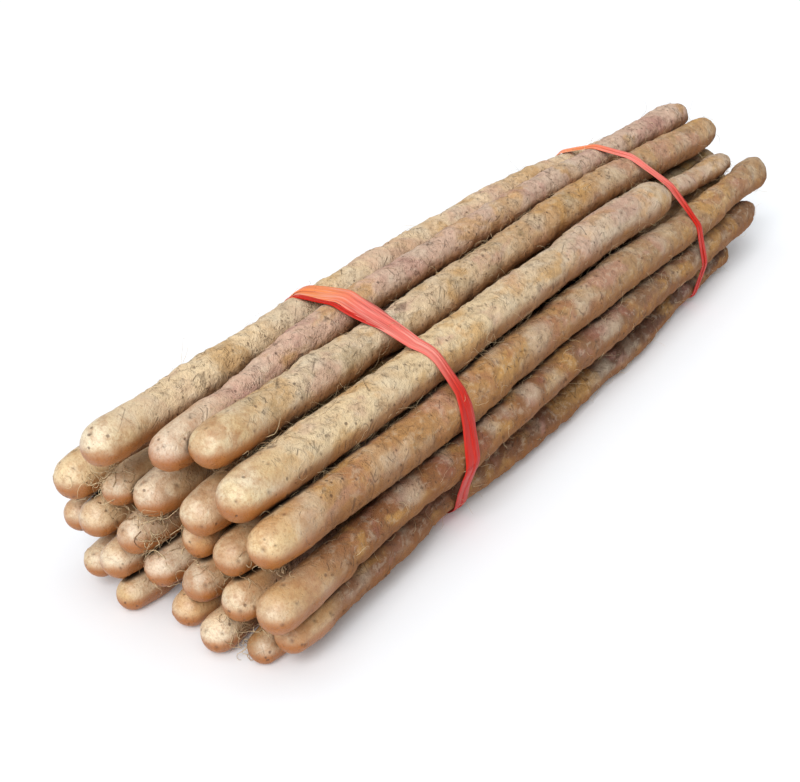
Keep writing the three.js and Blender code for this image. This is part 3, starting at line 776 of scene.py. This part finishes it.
# At angles round the bundle, in degrees from +Y towards +Z: the tape's half width in mm, and how far
# in mm it lies off its plane towards the necks.
FRONT_WIDTHS = [(-180, 8), (-165, 7.5), (-145, 7), (-125, 6), (-90, 3.5), (0, 5)]
FRONT_WIDTHS += [(50, 11), (100, 9.5), (122, 7.5), (140, 5), (150, 5.5), (165, 8)]
FRONT_OFFSETS = [(-176, -3), (-168, -6), (-158, -2), (-146, 7), (-130, 9), (-105, 0)]
FRONT_OFFSETS += [(40, 0), (70, -3), (110, -6), (128, -9), (140, -6), (158, 2), (172, 1)]
TAPES = {
    "front": {
        "widths": FRONT_WIDTHS,
        "offsets": FRONT_OFFSETS,
        "strands": 3,
        "knot_height": 70 * MM,
        "seed": 3,
    },
    "back": {
        "widths": [(0, 4.6)],
        "offsets": [(0, 0)],
        "strands": 2,
        "knot_height": 54 * MM,
        "seed": 9,
    },
}
TAPE_REACH = 8 * MM  # no part of a band is further than this from its plane
LOOP_STEP = 1.5 * MM
FILM_COLUMNS = 12
FILM_THICK = 0.18 * MM
FILM_LOW = 0.1 * MM
FILM_BUMP = 0.5 * MM
BAND_PLEATS, TAIL_PLEATS = 0.5 * MM, 0.55 * MM
MEET_RUN = 40 * MM  # over this run a band's pleats turn into those that it starts with
KNOT = np.array([15, 8, 12]) * MM
KNOT_ROWS, KNOT_SIDES = 26, 48
KNOT_FULL = 0.84  # how much of KNOT it fills between its folds
TAIL = {"lengths": (46 * MM, 38 * MM), "half": 4 * MM, "arch": 9 * MM, "droop": 0.42}
TAIL_ROWS, TAIL_COLUMNS = 40, 14


def tape_plane(node):
    """The plane x = a + b y + c z that a tape's band follows, from its node without its tails."""
    points = np.array([v.co for v in node.data.vertices])
    terms = np.column_stack([np.ones(len(points)), points[:, 1:]])
    kept = np.ones(len(points), bool)
    for reach in np.linspace(3 * TAPE_REACH, TAPE_REACH, 12):
        plane = np.linalg.lstsq(terms[kept], points[kept, 0], rcond=None)[0]
        kept = np.abs(points[:, 0] - terms @ plane) < reach
    return plane


def hull(points):
    """The convex outline of points (n, 2), anticlockwise."""
    points = points[np.lexsort((points[:, 1], points[:, 0]))]
    outline = []
    for run in (points, points[::-1]):
        chain = []
        for p in run:
            while len(chain) > 1:
                (ax, ay), (bx, by) = chain[-1] - chain[-2], p - chain[-1]
                if ax * by > ay * bx:
                    break
                chain.pop()
            chain.append(p)
        outline += chain[:-1]
    return np.array(outline)


def tape_loop(plane):
    """The closed line (n, 2) of Y and Z that a tape takes round the skins, and its outward run."""
    near = []
    for tuber in tubers.values():
        points = tuber.points.reshape(-1, 3)
        away = points[:, 0] - (plane[0] + points[:, 1:] @ plane[1:])
        near.append(points[np.abs(away) < TAPE_REACH, 1:])
    outline = hull(np.concatenate(near))
    closed = np.concatenate([outline, outline[:1]])
    marks = np.concatenate([[0], np.cumsum(np.linalg.norm(np.diff(closed, axis=0), axis=1))])
    count = int(marks[-1] / LOOP_STEP)
    at = np.arange(count) * marks[-1] / count
    line = np.stack([np.interp(at, marks, closed[:, axis]) for axis in (0, 1)], axis=1)
    for _ in range(3):
        line = (np.roll(line, 1, axis=0) + 2 * line + np.roll(line, -1, axis=0)) / 4
    ahead = unit(np.roll(line, -1, axis=0) - np.roll(line, 1, axis=0))
    return line, np.column_stack([ahead[:, 1], -ahead[:, 0]])


def pleats(at, across, seed, depth):
    """Height of lengthwise pleats at places along a strand and shares across it, 0 at its edges."""
    along, share = np.meshgrid(at, across, indexing="ij")
    places = np.column_stack([along.ravel(), share.ravel() * 5 * MM, np.zeros(along.size)])
    fine = noise(places, np.array([60, 1.5, 9]) * MM, seed)
    broad = noise(places, np.array([35, 4, 9]) * MM, seed + 1)
    edge = np.sqrt(np.maximum(1 - np.abs(share) ** 3, 0))
    return depth * (1 + 0.5 * (fine + broad).reshape(along.shape)) * edge


def loop_faces(rows, columns):
    """Quads of a closed band whose rows are closed rings of points, ordered from +X outward."""
    a = np.arange(rows)[:, None] * columns + np.arange(columns)[None]
    b = np.arange(rows)[:, None] * columns + (np.arange(columns)[None] + 1) % columns
    total = rows * columns
    return np.stack([a, (a + columns) % total, (b + columns) % total, b], axis=2).reshape(-1, 4)


def two_sided(top, low_share, lift):
    """The shares across a strip and back, and the heights of its pleated top and flatter underside."""
    across = np.linspace(-1, 1, top.shape[1])
    heights = np.concatenate([top + FILM_THICK, low_share * top[:, ::-1]], axis=1) + lift[:, None]
    return np.concatenate([across, across[::-1]]), heights


def add_film(name, points, faces, place, turn=0.0, left=1.0):
    """A piece of film. `turn` and `left` say how much its points face up and to the bundle's left,
    which the film's painted light follows.
    """
    piece = add_mesh(name, points, faces, FILM)
    add_attribute(piece, "place", place)
    add_attribute(piece, "turn", np.broadcast_to(turn, len(points)))
    add_attribute(piece, "left", np.broadcast_to(left, len(points)))
    return piece


def strand_course(tape, spec, turn, ring, seed):
    """Round a strand, by the angles `turn`: its middle along X, its half width and its lift. `ring`
    is a circle in the space of the noises, so that they close."""
    degrees = np.degrees(turn)
    half = np.interp(degrees, *np.array(tape["widths"]).T, period=360) * MM
    offset = np.interp(degrees, *np.array(tape["offsets"]).T, period=360) * MM
    slipped = spec["slip"] * np.exp(-(((degrees - SLIP_AT) / SLIP_SPREAD) ** 2))
    shift = offset + half * (spec["middle"] - slipped + spec["wander"] * noise(ring, 0.45, seed))
    width = half * spec["half"] * (1 + 0.2 * noise(ring, 0.3, seed + 5))
    return shift, width, spec["lift"] * MM * (1 + 0.5 * noise(ring, 0.35, seed + 7))


def add_strand(name, tape, plane, line, out, index):
    """One closed strand of a tape, pleated along its run round the bundle."""
    spec = STRANDS[index]
    seed = tape["seed"] * 10 + index
    count = len(line)
    middle = line.mean(0)
    turn = np.arctan2(line[:, 1] - middle[1], line[:, 0] - middle[0])
    cyclic = np.arange(count) * 2 * np.pi / count
    ring = np.column_stack([np.cos(cyclic), np.sin(cyclic), np.full(count, 0.3 + index)])
    shift, width, lift = strand_course(tape, spec, turn, ring, seed)

    at = np.arange(count) * LOOP_STEP
    top = pleats(at, np.linspace(-1, 1, FILM_COLUMNS), seed, BAND_PLEATS)
    meet = smooth(0, MEET_RUN, count * LOOP_STEP - at)[:, None]
    share, height = two_sided(top * meet + top[:1] * (1 - meet), 0.25, lift)
    lowest = np.where(np.arange(len(share)) < FILM_COLUMNS, FILM_LOW, FILM_LOW + FILM_THICK)
    yz = line[:, None] + out[:, None] * height[..., None]
    yz[..., 1] = np.maximum(yz[..., 1], lowest)
    x = plane[0] + yz @ plane[1:] + shift[:, None] + width[:, None] * share
    points = np.concatenate([x[..., None], yz], axis=2).reshape(-1, 3)
    columns = len(share)
    place = np.column_stack([np.repeat(at, columns), np.tile(share, count) * 4 * MM])
    place = np.column_stack([place, np.full(len(place), 0.1 * index)])
    # how much the strand faces up, times its share of the film's painted light on top
    upward = spec["thin"] * np.repeat(np.sin(turn), columns)
    leftward = np.repeat(np.cos(turn), columns)
    faces = [loop_faces(count, columns)]
    return add_film(name, points, faces, place, upward, leftward)


def knot_place(plane, line, out, height):
    """Where the knot sits on the +Y side, with its outward and upward directions."""
    off = np.where(line[:, 0] > line[:, 0].mean(), np.abs(line[:, 1] - height), 1)
    k = off.argmin()
    at = np.array([plane[0] + line[k] @ plane[1:], *line[k]])
    outward = np.array([0, *out[k]])
    return at, outward, np.cross([1, 0, 0], outward)


def add_knot(name, at, outward, up, seed):
    """A bunched lump of film, with a turn of it wrapped round its middle."""
    fall = np.linspace(0.03, 0.97, KNOT_ROWS)[:, None] * np.pi
    turn = np.arange(KNOT_SIDES)[None] * 2 * np.pi / KNOT_SIDES
    ball = [-np.cos(fall) + 0 * turn, np.sin(fall) * np.cos(turn), np.sin(fall) * np.sin(turn)]
    ball = np.stack(ball, axis=2).reshape(-1, 3)
    creases = noise(ball * [0.35, 1, 1], 0.22, seed)
    wrap = np.exp(-(((ball[:, 0] + 0.3 * ball[:, 2]) * 3.2) ** 2))
    swell = KNOT_FULL + 0.1 * creases + 0.18 * wrap + 0.08 * noise(ball, 0.5, seed + 1)
    ends = [[-KNOT_FULL, 0, 0], [KNOT_FULL, 0, 0]]
    local = np.concatenate([ball * swell[:, None], ends]) * KNOT / 2
    points = at + outward * KNOT[1] / 2 + local @ np.stack([[1, 0, 0], outward, up])
    add_film(name, points, tube_faces(KNOT_ROWS, KNOT_SIDES), local[:, [2, 0, 1]])


def add_tail(name, at, outward, up, length, way, seed):
    """A pleated strip that leaves the knot along X and droops off the bundle."""
    run = np.linspace(0, 1, TAIL_ROWS)
    off = 0.5 * KNOT[1] + TAIL["arch"] * np.sin(2.2 * run)
    half = TAIL["half"] * (0.45 + 0.55 * run)
    folds = pleats(run * length, np.linspace(-1, 1, TAIL_COLUMNS), seed, TAIL_PLEATS)
    share, height = two_sided(folds, 0.3, off)
    ragged = half[:, None] * run[:, None] ** 6 * 0.4 * (share + 0.3 * np.sin(9 * share))
    x = way * (run * length * (1 - 0.18 * run))[:, None] + way * ragged
    rise = -TAIL["droop"] * length * run[:, None] ** 2 + half[:, None] * share
    local = np.stack([x, height, rise], axis=2)
    ends = local[[0, -1]].mean(1)
    local = np.concatenate([local.reshape(-1, 3), ends])
    points = at + local @ np.stack([[1, 0, 0], outward, up])
    faces = tube_faces(TAIL_ROWS, len(share))
    if way < 0:
        faces = [part[:, ::-1] for part in faces]
    add_film(name, points, faces, local[:, [0, 2, 1]])


# The film's colours: in painted shade, in painted light on top, on top at the left, its pale pleats and
# fibres, its folds.
DEEP_RED, SALMON, ORANGE = "c61a02", "ea7468", "f48c4e"
PALE_PLEAT, PALE_FIBRE, DARK_FOLD = "f8b8a8", "ffc4b4", "a31f1c"


def film_material():
    """Shiny red film: salmon as painted light on its top, turning orange towards the bundle's left, and
    deep red as painted shade down its sides, on a tucked strand and on its knot and tails.
    """
    nodes = Nodes("film")
    place = nodes.attribute("place", "Vector")
    fibres = nodes.noise(nodes.stretched(place, (0.02, 1, 1)), 1300, 3, 0.6)
    folds = nodes.noise(nodes.stretched(place, (0.05, 1, 1)), 420, 2)
    # painted light: the film is lighter where it faces up
    thin = nodes.range(nodes.attribute("turn"), 0.3, 0.95)
    left = nodes.range(nodes.attribute("left"), -0.1, 0.5)
    pleats_show = nodes.range(thin, 0, 1, 0.04, 0.5)
    fibres_show = nodes.range(thin, 0, 1, 0.04, 0.35)
    layers = [
        (thin, srgb(SALMON)),
        (nodes.times(thin, left), srgb(ORANGE)),
        (nodes.times(nodes.range(folds, 0.5, 0.66), pleats_show), srgb(PALE_PLEAT)),
        (nodes.range(folds, 0.48, 0.34, 0, 0.45), srgb(DARK_FOLD)),
        (nodes.times(nodes.range(fibres, 0.5, 0.66), fibres_show), srgb(PALE_FIBRE)),
    ]
    rise = nodes.plus(folds, nodes.times(fibres, 0.5))
    nodes.put(nodes.shader["Base Color"], nodes.over(srgb(DEEP_RED), layers))
    nodes.put(nodes.shader["Roughness"], nodes.range(fibres, 0.3, 0.7, 0.36, 0.5))
    nodes.put(nodes.shader["Normal"], nodes.bump(rise, FILM_BUMP))
    nodes.shader["Subsurface Weight"].default_value = 0.06
    nodes.shader["Specular IOR Level"].default_value = 0.3
    nodes.shader["Subsurface Radius"].default_value = (0.004, 0.0015, 0.001)
    nodes.shader["Subsurface Scale"].default_value = 0.5
    return nodes.material


FILM = film_material()


def add_tape(which):
    """A tape's strands, knot and two tails. The first strand stands for the plain band."""
    tape = TAPES[which]
    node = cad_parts["tape_" + which]
    plane = tape_plane(node)
    line, out = tape_loop(plane)
    name = "tape_" + which
    for index in range(tape["strands"]):
        piece = add_strand(f"{name}_strand_{index}", tape, plane, line, out, index)
        if index == 0:
            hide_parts(node.name)
    at, outward, up = knot_place(plane, line, out, tape["knot_height"])
    add_knot(name + "_knot", at, outward, up, tape["seed"])
    for side, length, way in zip(("far", "near"), TAIL["lengths"], (1, -1)):
        add_tail(f"{name}_tail_{side}", at, outward, up, length, way, tape["seed"] + way)


for which in TAPES:
    add_tape(which)

# ---- Floor and light --------------------------------------------------------------------------
FLOOR_SIZE = 30
FLOOR_COLOUR = (0.845, 0.87, 0.9, 1)
WHITE = (1, 1, 1, 1)
# Suns: their strength, and in degrees their spread, how steeply their light falls and its turn from +Y.
SUNS = {"front": (2.3, 34, 42, -74), "above": (1.1, 70, 84, -100)}


def add_floor():
    """A plain pale floor, with a little light of its own so that it stays near white."""
    bpy.ops.mesh.primitive_plane_add(size=FLOOR_SIZE)
    floor = bpy.context.object
    floor.name = "floor"
    nodes = Nodes("floor")
    nodes.shader["Base Color"].default_value = FLOOR_COLOUR
    nodes.shader["Roughness"].default_value = 0.9
    nodes.shader["Specular IOR Level"].default_value = 0.1
    nodes.shader["Emission Color"].default_value = WHITE
    nodes.shader["Emission Strength"].default_value = 0.09
    floor.data.materials.append(nodes.material)


def add_sun(name, strength, spread_degrees, down, turn):
    """A sun whose light falls `down` degrees below level, turned from +Y by `turn` degrees."""
    data = bpy.data.lights.new(name, "SUN")
    data.energy = strength
    data.angle = math.radians(spread_degrees)
    light = bpy.data.objects.new(name, data)
    light.rotation_euler = Euler((math.radians(90 - down), 0, math.radians(turn)))
    bpy.context.scene.collection.objects.link(light)


def add_light():
    """Soft light from all round, and two broad suns."""
    world = bpy.data.worlds.new("world")
    world.use_nodes = True
    background = world.node_tree.nodes["Background"]
    background.inputs["Color"].default_value = WHITE
    background.inputs["Strength"].default_value = 0.3
    bpy.context.scene.world = world
    for name, values in SUNS.items():
        add_sun(name, *values)
    bpy.context.scene.view_settings.view_transform = "Standard"


add_floor()
add_light()
